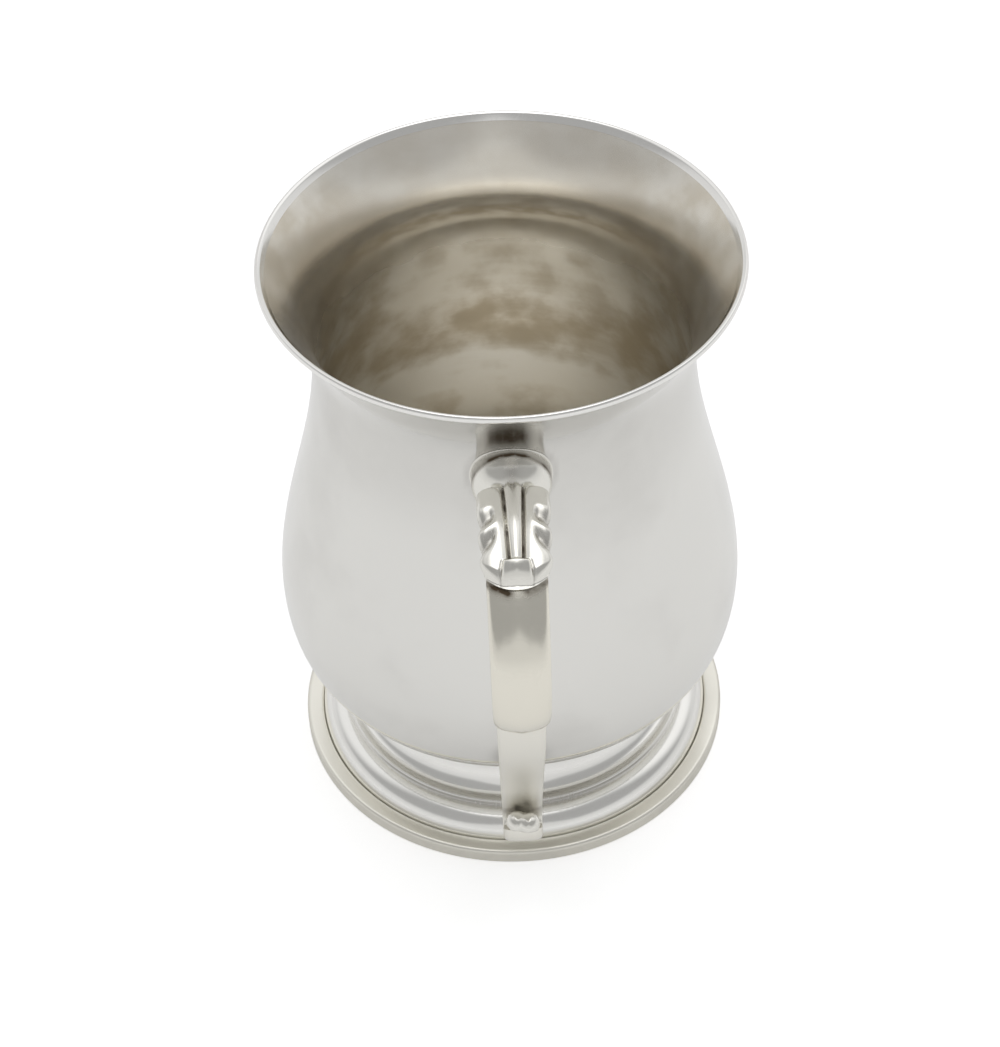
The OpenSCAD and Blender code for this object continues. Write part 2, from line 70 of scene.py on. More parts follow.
# Handle
SEAM, CAST_SEAM = 0.05, 0.15
SOCKET_Z, SOCKET_R, SOCKET_LEN, SOCKET_FILLET = 105.0, 7.5, 7.0, 0.35
TENON_R, TENON_LEN, DOME_LEN = 3.4, 3.0, 5.8
SCROLL_W, SCROLL_END_W, SCROLL_T = 11.4, 10.4, 5.6
SCROLL_REACH, SCROLL_DROP = 29.0, 21.0
CURL_IN, CURL_DROP, CURL_R, CURL_CLOSE, CURL_TURN = 7.0, 10.0, 4.4, 0.5, 205.0
ROOT_LEAD, ROOT_PULL = 0.5, (10.0, 2.6)
CROWN_PULL, DOWN_PULL, CURL_PULL = 14.5, 5.6, 4.2
RIDGE = 0.7
OUTER_POWER, INNER_POWER, SIDE_POWER = 0.28, 0.75, 0.45
CURL_THIN, CURL_NARROW, THIN_RATE = 0.4, 0.8, 1.4
TIP_PART, TIP_BLUNT, TIP_NARROW = 0.1, 0.25, 0.4
ROOT_NARROW, WIDEN_PART = 0.95, 0.2
CURL_SQUARE = 0.25
TAIL_W, TAIL_END_W, TAIL_T = 9.4, 7.8, 3.2
TAIL_Z, TAIL_GAP, TAIL_CURL_R, TAIL_CURL_TURN = 26.0, 7.6, 2.6, 205.0
STRAIGHT_LEAN, STRAIGHT_LEN, STRAIGHT_FOOT = 0.3, 8.0, (0.7, 4.4)
TOP_PULL, STRAIGHT_PULL, BEND_PULL = 12.0, 13.0, 1.8
TAPER_TOP, TAPER_FOOT, TAPER_CURL, TAIL_THIN = 0.55, 0.75, 0.8, 0.9
BOSS_Z, BOSS_R, BOSS_WAIST = 36.0, 3.2, 0.7
PELLET_R, PELLET_APART, PELLET_OUT, PELLET_DROOP, PELLET_MERGE = 2.35, 0.46, 0.45, 0.4, 6.0

# Leaf, in millimetres along the scroll and out from its middle line
LEAF_LEN, LEAF_BACK, LEAF_EDGE_T = 19.6, 1.6, 0.18
LEAF_LIFT, LEAF_LIFT_FROM, LEAF_THIN_FROM = 0.4, 0.7, 0.6
ROOT_STEP, ROOT_BOW, ROOT_SOFT = 0.2, 1.2, 0.9
RIB_HALF_ROOT, RIB_HALF_TIP, RIB_HEIGHT, RIB_SPREAD = 1.5, 0.95, 1.4, 1.15
CHANNEL_HALF, CHANNEL_DEPTH, CHANNEL_LEN = 0.42, 0.6, 6.5
GROOVE_OUT, GROOVE_HALF, GROOVE_CUT = 0.2, 0.22, 0.9
GROOVE_FADE, GROOVE_FADE_AT, GROOVE_FADE_HALF = 0.85, 7.6, 1.7
LOBE_HEIGHT, LOBE_EDGE, LOBE_POWER = 1.3, 6.3, 2.4
VALLEYS = ((6.1, 0.5), (9.5, 0.95))
VALLEY_FROM, VALLEY_HALF, VALLEY_DEPTH = 2.2, 1.4, 0.75
VALLEY_IN, VALLEY_SOFT = 2.3, 1.6
NOTCHES = ((7.8, 0.9, 0.13), (13.0, 0.9, 0.11))
TONGUE_START, TONGUE_RISE, TONGUE_HEIGHT = 14.5, 0.7, 2.4
TONGUE_TOP_HALF, TONGUE_END_HALF, TONGUE_ROUND = 1.7, 2.7, 3.6
FRONT_LEN, FRONT_LIP, FRONT_POWER = 3.0, 0.4, 1.6
TONGUE_LIP, TONGUE_POWER, TONGUE_SOFT = 0.7, 1.9, 1.0
TONGUE_LINE, TONGUE_LINE_OUT, TONGUE_LINE_HALF = 0.2, 0.2, 0.2
END_BOW, BOW_POWER = 0.24, 2.2

# Tarnish and painted shade, from 0 to 1, with the places where each lies and the distances over which it
# fades
DRUM_RING, DRUM_RING_OUT, DRUM_RING_HALF = 0.25, 0.5, 1.3
BOSS_RING, BOSS_RING_HALF = 0.4, 2.2
# Painted shade up the neck, standing in for the shaded floor that the neck mirrors
NECK_SHADE, NECK_SHADE_FROM, NECK_SHADE_RISE = 0.11, 84.0, 20.0
BODY_JOINT, BODY_JOINT_HALF = 0.2, 0.5
FOOT_JOINT, FOOT_JOINT_HALF = 0.3, 0.4
FOOT_LINE, FOOT_LINE_HALF = 0.3, 0.3
# The foot's tarnish lines are full strength only at the front under the handle, as painted shade of the
# handle, and weaker elsewhere
FOOT_UNSHADED, HANDLE_SHADE_HALF = 0.3, 16.0
# Painted shade on the foot rim's outer side
RIM_SIDE_SHADE = 0.18
# Tarnish on the drum's solder fillet and bore; the drum is darker on top than below, as painted shade under
# the lip
DRUM_FOOT, DRUM_BORE, DRUM_SHADE_BELOW = 0.2, 0.8, 0.45
# Painted shade in a band near the dome's outer edge
DOME_SHADE, DOME_SHADE_AT, DOME_SHADE_HALF = 0.95, 0.05, 0.1
# Painted reflection: a dark streak down the middle of the dome's top half
DOME_REFLECTION, DOME_REFLECTION_HALF = 0.3, 1.3
# Painted shadow on the scroll just past the leaf's lifted end, weaker on the right side
UNDER_LEAF, UNDER_HALF, UNDER_CLEAR, LEAF_HALF = 0.5, 0.8, 0.6, 8.0
UNDER_LEAF_RIGHT = 0.7
# Painted shade on the tail just above the pellet
PELLET_SHADE, BEHIND_PELLET, BEHIND_HALF = 0.5, 2.0, 2.0
# Painted shade in the leaf's groove, channel and valleys
GROOVE_SHADE, CHANNEL_SHADE, VALLEY_SHADE = 0.75, 0.3, 0.3

# Fineness: how many points each form has along it and around it
TURN_POINTS, CURVE_POINTS, BOTTOM_POINTS, WIRE_POINTS = 256, 49, 14, 40
ROUND_POINTS, FOOT_ARC_POINTS, SHOULDER_POINTS = 5, 32, 10
SCROLL_POINTS, SCROLL_AROUND = 361, 72
DROP_POINTS, BEND_POINTS, TAIL_POINTS, TAIL_AROUND = 61, 11, 41, 64
SEAT_POINTS, FILLET_POINTS, DOME_POINTS, DRUM_AROUND = 8, 9, 48, 96
BOSS_POINTS, BOSS_AROUND = 25, 64
PELLET_POINTS, PELLET_AROUND = 40, 64
LEAF_ROWS, LEAF_COLS = 180, 150
RUN_POINTS, SECTION_POINTS = 401, 721
ON_AXIS = 1e-6

# Angles, in degrees, past which an edge is shaded as sharp
SHEET_CREASE, CAST_CREASE, BEAD_CREASE = 40.0, 50.0, 60.0

# Photograph: the camera's focal length and the frame's height in pixels, and the camera's place and aim
PHOTO_H, FOCAL_PX = 1047, 2500.0
CAMERA_DISTANCE, CAMERA_AIM_Z = 523.3, 59.9
CAMERA_ELEVATION, CAMERA_AZIMUTH = math.radians(44.17), math.radians(-1.1)
CAMERA_PAN, CAMERA_TILT, CAMERA_ROLL = 0.0035096, -0.0057495, -0.029353
SENSOR = 36.0

# Floor: its size and drop in metres, its finish, and how much it glows to the camera and in the silver
FLOOR_SIZE, FLOOR_DROP = 6.0, 0.0001
FLOOR_COLOUR, FLOOR_ROUGH = (0.8, 0.8, 0.8, 1), 0.9
FLOOR_SEEN, FLOOR_MIRRORED = 0.54, 0.17

# Tent: pale walls up to an elevation that is lower at the sides, a dim ceiling, and a glow at the horizon.
# Each lamp is a soft patch: azimuth from the front, elevation, inner and outer radius in degrees, and level.
WHITE = (1, 1, 1, 1)
WALL_LEVEL, CEILING_LEVEL = 0.685, 0.39
WALL_TOP, CEILING_FROM = 34.0, 43.0
WALL_FALL, FALL_LIMIT = 0.62, 0.45
GLOW_LEVEL, GLOW_TOP = 0.09, 0.25
LAMPS = (
    (0.0, 90.0, 6.0, 28.0, 1.3),
    (135.0, 50.0, 8.0, 40.0, 0.6),
    (-135.0, 50.0, 8.0, 40.0, 0.45),
)

# Silver: each kind's clean colour, roughness and cloudiness, then what tarnish and painted shade, grain and
# marks do to it
SILVERS = {
    "polished_silver": ((0.845, 0.837, 0.805), 0.06, 0.09),
    "satin_silver": ((0.88, 0.866, 0.812), 0.17, 0.06),
    # The foot's silver is lighter than the body's, as painted light for its dim reflections
    "soft_silver": ((0.93, 0.922, 0.892), 0.15, 0.05),
    "warm_silver": ((0.89, 0.86, 0.765), 0.17, 0.06),
    "worn_silver": ((0.91, 0.89, 0.82), 0.30, 0.06),
    "bright_silver": ((0.95, 0.94, 0.915), 0.14, 0.03),
    # The foot rim's beige tone is its own; its extra lightness is painted light
    "rim_silver": ((0.97, 0.95, 0.87), 0.28, 0.10),
}
# Brown that tarnish and painted shade turn the silver towards
TARNISH_SHADE_BROWN = (0.10, 0.075, 0.05)
GRAIN_SHARE = 0.8
SCRATCHES = ((240.0, (0.5, 1.1, 0.2)), (260.0, (1.3, 0.3, 0.9)))
SCRATCH_ALONG, SCRATCH_HALF = 0.06, 0.012
RING_ACROSS = 60
NOISE_MIDDLE = 0.5
DARK_ROUGH, POLISH_ROUGH, MARK_ROUGH = 0.3, 0.03, 0.05
POLISH_BUMP, POLISH_DEPTH = 0.6, 0.000004
MARK_BUMP, MARK_DEPTH = 0.25, 0.000008

# Inside: colours of the patina, the places in metres between which it changes, and each pattern's share
PATINA_DARK, PATINA_PALE, PATINA_FLARE = (0.60, 0.525, 0.40), (0.99, 0.965, 0.90), (0.88, 0.845, 0.77)
FLARE_FROM, FLARE_TO, FLARE_COVER = 0.096, 0.111, 0.8
DEEP_FROM, DEEP_TO = 0.072, 0.056
LIP_FROM, LIP_TO = 0.110, 0.117
# Painted shade: the flare's pale polish fades out towards the left and right sides
SIDE_FROM, SIDE_TO, FLARE_SIDE_SHADE = 0.018, 0.040, 0.5
TIDE_STEP, TIDE_PHASE = 0.036, -15.1
BLOTCH_SHARE, SPOTS_SHARE, CLOUD_SHARE, RINGS_SHARE = 0.45, 0.5, 0.15, 0.1
# Tide marks' share, and the deep part's share, which is painted light: paler deep down
TIDE_SHARE, DEEP_LIGHTENING = 0.22, 0.38
PALE_FROM, PALE_TO = 0.1, 1.2
PATINA_METAL, FLARE_METAL, INNER_SPECULAR = 0.95, 0.8, 0.3
PATINA_ROUGH, SPOTS_SMOOTH = 0.42, 0.08
DEEP_ROUGH, FLARE_ROUGH, LIP_ROUGH = 0.30, 0.08, 0.24
RINGS_BUMP, RINGS_DEPTH = 0.5, 0.00001


# Curves
def mix(a, b, t):
    return a + (b - a) * t


def smooth(t):
    c = np.clip(t, 0.0, 1.0)
    return c * c * (3.0 - 2.0 * c)


def bezier(points, t):
    p = np.array(points, float)
    s = np.asarray(t, float)[..., None]
    r = 1.0 - s
    return p[0] * r**3 + 3 * p[1] * s * r**2 + 3 * p[2] * s**2 * r + p[3] * s**3


def bezier_dir(points, t):
    p = np.array(points, float)
    s = np.asarray(t, float)[..., None]
    r = 1.0 - s
    d = (p[1] - p[0]) * r**2 + 2 * (p[2] - p[1]) * s * r + (p[3] - p[2]) * s**2
    return d / np.linalg.norm(d, axis=-1, keepdims=True)


def bell(x, half):
    return np.exp(-((x / half) ** 2))


def unit(v):
    return np.array(v, float) / np.linalg.norm(v)


def left_of(d):
    d = np.asarray(d)
    return np.stack([-d[..., 1], d[..., 0]], -1)


def turn_angles(count):
    """Angles of even steps round a circle."""
    return 2 * math.pi * np.arange(count) / count


def arc(centre, radii, start, stop, count):
    a = np.radians(np.linspace(start, stop, count))
    return [(centre[0] + radii[0] * math.cos(x), centre[1] + radii[1] * math.sin(x)) for x in a]


def rounded(points, radius, corners):
    """The outline with the numbered corners rounded off."""
    made = []
    for i, p in enumerate(points):
        if i not in corners:
            made.append(tuple(p))
            continue
        p = np.array(p, float)
        before = np.array(points[i - 1], float) - p
        after = np.array(points[(i + 1) % len(points)], float) - p
        reach = min(radius, ROUND_SHARE * np.linalg.norm(before), ROUND_SHARE * np.linalg.norm(after))
        a, b = p + reach * unit(before), p + reach * unit(after)
        for s in np.linspace(0, 1, ROUND_POINTS):
            made.append(tuple(a * (1 - s) ** 2 + 2 * p * s * (1 - s) + b * s**2))
    return made


# Meshes
def make_piece(name, points, faces, materials, node_names, groups=None, values=None,
               crease=SHEET_CREASE):
    """A piece in metres that stands for these CAD nodes. groups gives each face's material, and values gives
    each point's tarnish and painted shade."""
    mesh = bpy.data.meshes.new(name)
    mesh.from_pydata((np.asarray(points, float) * MM).tolist(), [], [list(map(int, f)) for f in faces])
    work = bmesh.new()
    work.from_mesh(mesh)
    bmesh.ops.recalc_face_normals(work, faces=work.faces)
    work.to_mesh(mesh)
    work.free()
    for material in materials:
        mesh.materials.append(material)
    if groups is not None:
        mesh.polygons.foreach_set("material_index", np.asarray(groups, np.int32))
    if values is not None:
        # Each point's tarnish and painted shade, which the silver's material reads
        tarnish_and_shade = mesh.attributes.new("tarnish_and_shade", "FLOAT", "POINT")
        tarnish_and_shade.data.foreach_set("value", np.asarray(values, np.float32))
    mesh.shade_smooth()
    mesh.set_sharp_from_angle(angle=math.radians(crease))
    mesh.update()
    piece = bpy.data.objects.new(name, mesh)
    bpy.context.scene.collection.objects.link(piece)
    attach(piece, "root")
    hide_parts(*node_names)


def grid_faces(rows, cols, start=0, wrap=False):
    """Quads of a grid of points, row by row. With wrap, each row closes on itself."""
    last = cols if wrap else cols - 1
    return [(start + i * cols + j, start + i * cols + (j + 1) % cols,
             start + (i + 1) * cols + (j + 1) % cols, start + (i + 1) * cols + j)
            for i in range(rows - 1) for j in range(last)]


def tube_faces(rows, count):
    """Faces of a tube of rings, closed at both ends."""
    faces = grid_faces(rows, count, wrap=True)
    faces.append(tuple(range(count)))
    faces.append(tuple(range((rows - 1) * count, rows * count)))
    return faces


def revolve(profile):
    """Points and faces of a closed outline of [radius, height] turned about the Z axis, and the stretch of
    the outline that each face lies on."""
    a = turn_angles(TURN_POINTS)
    points, rings = [], []
    for r, z in profile:
        if r < ON_AXIS:
            rings.append([len(points)] * TURN_POINTS)
            points.append((0.0, 0.0, z))
        else:
            rings.append(list(range(len(points), len(points) + TURN_POINTS)))
            points.extend(zip(r * np.sin(a), -r * np.cos(a), np.full(TURN_POINTS, z)))
    faces, stretches = [], []
    for k, ring in enumerate(rings):
        following = rings[(k + 1) % len(rings)]
        if len(set(ring)) == 1 and len(set(following)) == 1:
            continue
        for j in range(TURN_POINTS):
            n = (j + 1) % TURN_POINTS
            corners = list(dict.fromkeys((ring[j], ring[n], following[n], following[j])))
            faces.append(corners)
            stretches.append(k)
    return points, faces, stretches


# Body
FLARE_DIR = unit((FLARE_IN, FLARE_DOWN))
LIP_SIDE = left_of(FLARE_DIR)
LIP = np.array([LIP_R, HEIGHT - RIM_WIRE_D / 2 - BODY_WALL / 2 * LIP_SIDE[1]])
LIP_MID = LIP + BODY_WALL / 2 * LIP_SIDE
BODY_CURVES = (
    ((NECK_R, FOOT_H), (NECK_R + LOW_SWELL, FOOT_H + LOW_RISE * LOW_SWELL), (BELLY_R, BELLY_Z - LOW_TURN),
     (BELLY_R, BELLY_Z)),
    ((BELLY_R, BELLY_Z), (BELLY_R, BELLY_Z + BELLY_TURN), (WAIST_R, WAIST_Z - NECK_TURN),
     (WAIST_R, WAIST_Z)),
    ((WAIST_R, WAIST_Z), (WAIST_R, WAIST_Z + FLARE_TURN), tuple(LIP - (FLARE_IN, FLARE_DOWN)), tuple(LIP)),
)


def body_profile(inset):
    t = np.linspace(0, 1, CURVE_POINTS)
    runs = [bezier(c, t) + inset * left_of(bezier_dir(c, t)) for c in BODY_CURVES]
    return np.vstack([runs[0], runs[1][1:], runs[2][1:]])


OUTSIDE = body_profile(0.0)


def body_radius(z):
    """Outer radius of the body at a height."""
    return np.interp(z, OUTSIDE[:, 1], OUTSIDE[:, 0])


def body_tarnish_and_shade(p):
    """Tarnish round the drum, round the boss and over the foot, and painted shade up the neck."""
    front = p[:, 1] < 0
    drum = np.hypot(p[:, 0], p[:, 2] - SOCKET_Z)
    boss = np.hypot(p[:, 0], p[:, 2] - BOSS_Z)
    joints = np.maximum(DRUM_RING * bell(drum - SOCKET_R - DRUM_RING_OUT, DRUM_RING_HALF),
                        BOSS_RING * bell(boss - BOSS_R, BOSS_RING_HALF))
    # Painted shade: darker higher up the neck
    neck = NECK_SHADE * smooth((p[:, 2] - NECK_SHADE_FROM) / NECK_SHADE_RISE)
    return np.maximum.reduce([joints * front, neck, BODY_JOINT * bell(p[:, 2] - FOOT_H, BODY_JOINT_HALF)])


def make_body(outer, inner):
    inside = body_profile(BODY_WALL)[::-1]
    bottom = [(r, FOOT_H + BODY_WALL) for r in np.linspace(inside[-1][0], 0, BOTTOM_POINTS)[1:]]
    profile = [(0.0, FOOT_H)] + [tuple(p) for p in OUTSIDE] + [tuple(p) for p in inside] + bottom
    points, faces, stretches = revolve(profile)
    inner_from = len(OUTSIDE) + 1
    groups = [1 if k >= inner_from else 0 for k in stretches]
    make_piece("tankard_body", points, faces, (outer, inner), ("body",), groups,
               values=body_tarnish_and_shade(np.array(points)))


def make_rim_wire(material):
    """A round wire over the lip, dressed flush with the sheet inside the mug and feathered out on its
    outside."""
    half = BODY_WALL / 2 + SEAM
    radius = RIM_WIRE_D / 2
    below = radius + RIM_FEATHER
    leaves = math.pi - math.atan2(half, below) - math.acos(radius / math.hypot(half, below))
    section = [LIP_MID - below * FLARE_DIR + half * LIP_SIDE]
    for a in np.linspace(math.pi / 2, -leaves, WIRE_POINTS):
        side = RIM_FLUSH if a > 0 else radius
        section.append(LIP_MID + radius * math.cos(a) * FLARE_DIR + side * math.sin(a) * LIP_SIDE)
    section.append(LIP_MID - below * FLARE_DIR - half * LIP_SIDE)
    section.append(LIP_MID + SEAM * FLARE_DIR - half * LIP_SIDE)
    section.append(LIP_MID + SEAM * FLARE_DIR + half * LIP_SIDE)
    points, faces, _ = revolve(section)
    make_piece("tankard_rim_wire", points, faces, (material,), ("rim_wire",))


# Foot
def make_foot(material):
    top = FOOT_H - SEAM
    hollow = (STEP_R - STEP_W, top)
    cavetto = arc(hollow, (hollow[0] - NECK_R, top - STEP_Z), 180, 270, FOOT_ARC_POINTS)
    round_top, round_base = STEP_Z - STEP_RISE, FOOT_RIM_H - ROUND_SINK
    ovolo = arc((STEP_R, round_base), (FOOT_EDGE_R - STEP_R, round_top - round_base), 90, 0, FOOT_ARC_POINTS)
    skin = cavetto + [(STEP_R, STEP_Z)] + ovolo
    inside = [(r - FOOT_WALL, z - FOOT_WALL) for r, z in skin[::-1]]
    flange = NECK_R - FLANGE_W
    outline = skin + [(FOOT_EDGE_R, REBATE_Z), (FOOT_EDGE_R - FOOT_WALL, REBATE_Z)] + inside
    outline += [(flange, top - FOOT_WALL), (flange, top)]
    step = len(cavetto)
    outline = rounded(outline, STEP_ROUND, {step - 1, step, step + 1})
    points, faces, _ = revolve(outline)
    p = np.array(points)
    radius = np.hypot(p[:, 0], p[:, 1])
    lines = np.maximum(bell(radius - STEP_R, FOOT_LINE_HALF), bell(radius - STEP_R + STEP_W, FOOT_LINE_HALF))
    darkening = np.maximum(FOOT_JOINT * bell(p[:, 2] - top, FOOT_JOINT_HALF), FOOT_LINE * lines)
    # Painted shade of the handle: the foot's tarnish is full strength under the handle and weaker elsewhere
    handle_shade = mix(FOOT_UNSHADED, 1, bell(p[:, 0], HANDLE_SHADE_HALF) * (p[:, 1] < 0))
    make_piece("tankard_foot", points, faces, (material,), ("foot",), crease=CAST_CREASE,
               values=darkening * handle_shade)


def make_foot_rim(material):
    seat = FOOT_EDGE_R + SEAM
    inner = FOOT_EDGE_R - RIM_LAND
    shoulder = arc((FOOT_RIM_R - RIM_SHOULDER, FOOT_RIM_H - RIM_SHOULDER), (RIM_SHOULDER, RIM_SHOULDER),
                   0, 90, SHOULDER_POINTS)
    outline = [(inner, 0.0), (FOOT_RIM_R - REST_CHAMFER, 0.0), (FOOT_RIM_R, REST_CHAMFER)] + shoulder
    outline += [(seat + RIM_GROOVE, FOOT_RIM_H), (seat, FOOT_RIM_H - RIM_GROOVE), (seat, REBATE_Z - SEAM),
                (inner, REBATE_Z - SEAM)]
    outline = rounded(outline, RIM_ROUND, {1, 2, 3 + len(shoulder)})
    points, faces, _ = revolve(outline)
    p = np.array(points)
    # Painted shade: the rim's outer side is darkened, standing in for the shaded floor near the foot that it
    # mirrors
    side = smooth((np.hypot(p[:, 0], p[:, 1]) - FOOT_RIM_R + RIM_SHOULDER) / RIM_SHOULDER)
    make_piece("tankard_foot_rim", points, faces, (material,), ("foot_rim",),
               crease=CAST_CREASE, values=RIM_SIDE_SHADE * side)


# Handle
def sweep_section(s, angles):
    """Section of a scroll. s = half width, outer thickness, inner thickness, squareness, middle ridge."""
    half, out, back, square, ridge = s
    c, x = np.cos(angles), half * np.abs(np.sin(angles)) ** mix(1.0, SIDE_POWER, square)
    power_out, power_in = mix(1.0, OUTER_POWER, square), mix(1.0, INNER_POWER, square)
    outer = out * np.abs(c) ** power_out + ridge * (1 - x / half)
    n = np.where(c > 0, outer, -back * np.abs(c) ** power_in)
    return np.stack([x * np.sign(np.sin(angles)), n], -1)


def placed(place, direction, section):
    p = place + section[..., 1:2] * left_of(direction)
    return np.concatenate([section[..., 0:1], -p[..., 0:1], p[..., 1:2]], -1)


def sweep(stations, count):
    """Points and faces of a closed tube through the stations, each place, direction and section."""
    angles = turn_angles(count)
    rings = [placed(np.array(p), np.array(d), sweep_section(s, angles)) for p, d, s in stations]
    return np.vstack(rings), tube_faces(len(rings), count)


ROOT_U = WAIST_R + SOCKET_LEN
ROOT = np.array([ROOT_U + ROOT_LEAD, SOCKET_Z])
CROWN = np.array([ROOT_U + SCROLL_REACH, SOCKET_Z - SCROLL_DROP])
CURL_BASE = CROWN + (-CURL_IN, -CURL_DROP)
CURL_MID = CURL_BASE + (0, CURL_R)
OVER = (ROOT, ROOT + ROOT_PULL, CROWN + (0, CROWN_PULL), CROWN)
DOWN = (CROWN, CROWN - (0, DOWN_PULL), CURL_BASE + (CURL_PULL, 0), CURL_BASE)

OVER_T = np.linspace(0, 1, RUN_POINTS)
OVER_STEPS = np.linalg.norm(np.diff(bezier(OVER, OVER_T), axis=0), axis=1)
OVER_RUN = np.concatenate([[0], np.cumsum(OVER_STEPS)])

BORE = TENON_R + SEAM
DOME_STOP = math.acos(BORE / SOCKET_R)
DOME_U = ROOT_U - DOME_LEN * math.sin(DOME_STOP)


def tip_round(f):
    e = np.clip((f - 1 + TIP_PART) / TIP_PART, 0, 1)
    return max(TIP_BLUNT, math.sqrt(1 - e * e))


def main_width(t):
    """Width of the main scroll before its curl."""
    return mix(SCROLL_W, SCROLL_END_W, t / 2) * mix(ROOT_NARROW, 1, smooth(t / WIDEN_PART))


def main_section(width, thin, square):
    return (width / 2, SCROLL_T / 2 * thin, SCROLL_T / 2 * thin, square, RIDGE * thin)


def main_station(t):
    """Station of the main scroll: 0 to 1 over the top, 1 to 2 down, 2 to 3 round the curl."""
    if t > 2:
        f = t - 2
        a = math.radians(270 - CURL_TURN * f)
        r = CURL_R * mix(1, CURL_CLOSE, f)
        width = SCROLL_END_W * mix(1, CURL_NARROW, f) * mix(1, tip_round(f), TIP_NARROW)
        thin = mix(1, CURL_THIN, smooth(f * THIN_RATE)) * tip_round(f)
        place = CURL_MID + r * np.array([math.cos(a), math.sin(a)])
        return place, np.array([math.sin(a), -math.cos(a)]), main_section(width, thin, CURL_SQUARE)
    curve, f = (DOWN, t - 1) if t > 1 else (OVER, t)
    section = main_section(main_width(t), 1.0, mix(1, CURL_SQUARE, smooth(t - 1)))
    return bezier(curve, f), bezier_dir(curve, f), section


def make_main_scroll(material):
    tenon = (TENON_R, TENON_R, TENON_R, 0.0, 0.0)
    axis = (1.0, 0.0)
    stations = [((ROOT_U - TENON_LEN, SOCKET_Z), axis, tenon), ((ROOT_U, SOCKET_Z), axis, tenon)]
    steps = np.linspace(0, 3, SCROLL_POINTS)
    stations += [main_station(t) for t in steps]
    points, faces = sweep(stations, SCROLL_AROUND)
    across = np.abs(points[:, 0])
    run = np.interp(np.repeat(np.concatenate([[0, 0], steps]), SCROLL_AROUND), OVER_T, OVER_RUN)
    end = LEAF_LEN * leaf_end(across / LEAF_HALF)
    # Painted shadow under the leaf's end, on the scroll just past it and clear of the middle
    darkening = bell(run - end - UNDER_LEAF, UNDER_HALF) * smooth((across - UNDER_CLEAR) / UNDER_CLEAR)
    darkening = darkening * np.where(points[:, 0] < 0, 1.0, UNDER_LEAF_RIGHT)
    make_piece("tankard_main_scroll", points, faces, (material,),
               ("upper_scroll_left", "upper_scroll_right"), crease=CAST_CREASE,
               values=darkening)


JOINT_PLACE, JOINT_DIR, JOINT_SECTION = main_station(2.0)
JOINT_OUT = left_of(JOINT_DIR)
TAIL_TOP = JOINT_PLACE + JOINT_OUT * (JOINT_SECTION[1] + JOINT_SECTION[4] + CAST_SEAM)
TAIL_MID = np.array([BELLY_R + TAIL_GAP, TAIL_Z])
STRAIGHT_DIR = unit((STRAIGHT_LEAN, 1.0))
STRAIGHT_END = TAIL_MID - (TAIL_CURL_R, 0) + STRAIGHT_FOOT
STRAIGHT_TOP = STRAIGHT_END + STRAIGHT_LEN * STRAIGHT_DIR
DROP = (TAIL_TOP, TAIL_TOP + TOP_PULL * JOINT_OUT, STRAIGHT_TOP + STRAIGHT_PULL * STRAIGHT_DIR, STRAIGHT_TOP)
BEND = (STRAIGHT_END, STRAIGHT_END - BEND_PULL * STRAIGHT_DIR, TAIL_MID + (-TAIL_CURL_R, BEND_PULL),
        TAIL_MID + (-TAIL_CURL_R, 0))


def tail_section(k, thin):
    return (mix(TAIL_W, TAIL_END_W, k) / 2, TAIL_T / 2 * thin, TAIL_T / 2 * thin, 1.0, 0.0)


def tail_station(curve, t, k):
    return bezier(curve, t), bezier_dir(curve, t), tail_section(k, 1)


def tail_end(f):
    """Station of the tail's curl, 0 to 1 round it."""
    a = math.radians(180 + TAIL_CURL_TURN * f)
    place = TAIL_MID + TAIL_CURL_R * np.array([math.cos(a), math.sin(a)])
    section = tail_section(mix(TAPER_CURL, 1, f), mix(1, TAIL_THIN, f))
    return place, np.array([-math.sin(a), math.cos(a)]), section


def make_lower_scroll(material):
    stations = [tail_station(DROP, t, TAPER_TOP * t) for t in np.linspace(0, 1, DROP_POINTS)]
    stations += [tail_station(BEND, t, mix(TAPER_FOOT, TAPER_CURL, t))
                 for t in np.linspace(0, 1, BEND_POINTS)]
    stations += [tail_end(f) for f in np.linspace(0, 1, TAIL_POINTS)[1:]]
    points, faces = sweep(stations, TAIL_AROUND)
    # Painted shade on the tail round a point just above the pellet
    behind = np.hypot(points[:, 1] + TAIL_MID[0], points[:, 2] - TAIL_MID[1] - BEHIND_PELLET)
    make_piece("tankard_lower_scroll", points, faces, (material,),
               ("lower_scroll_left", "lower_scroll_right"), crease=CAST_CREASE,
               values=PELLET_SHADE * bell(behind, BEHIND_HALF))


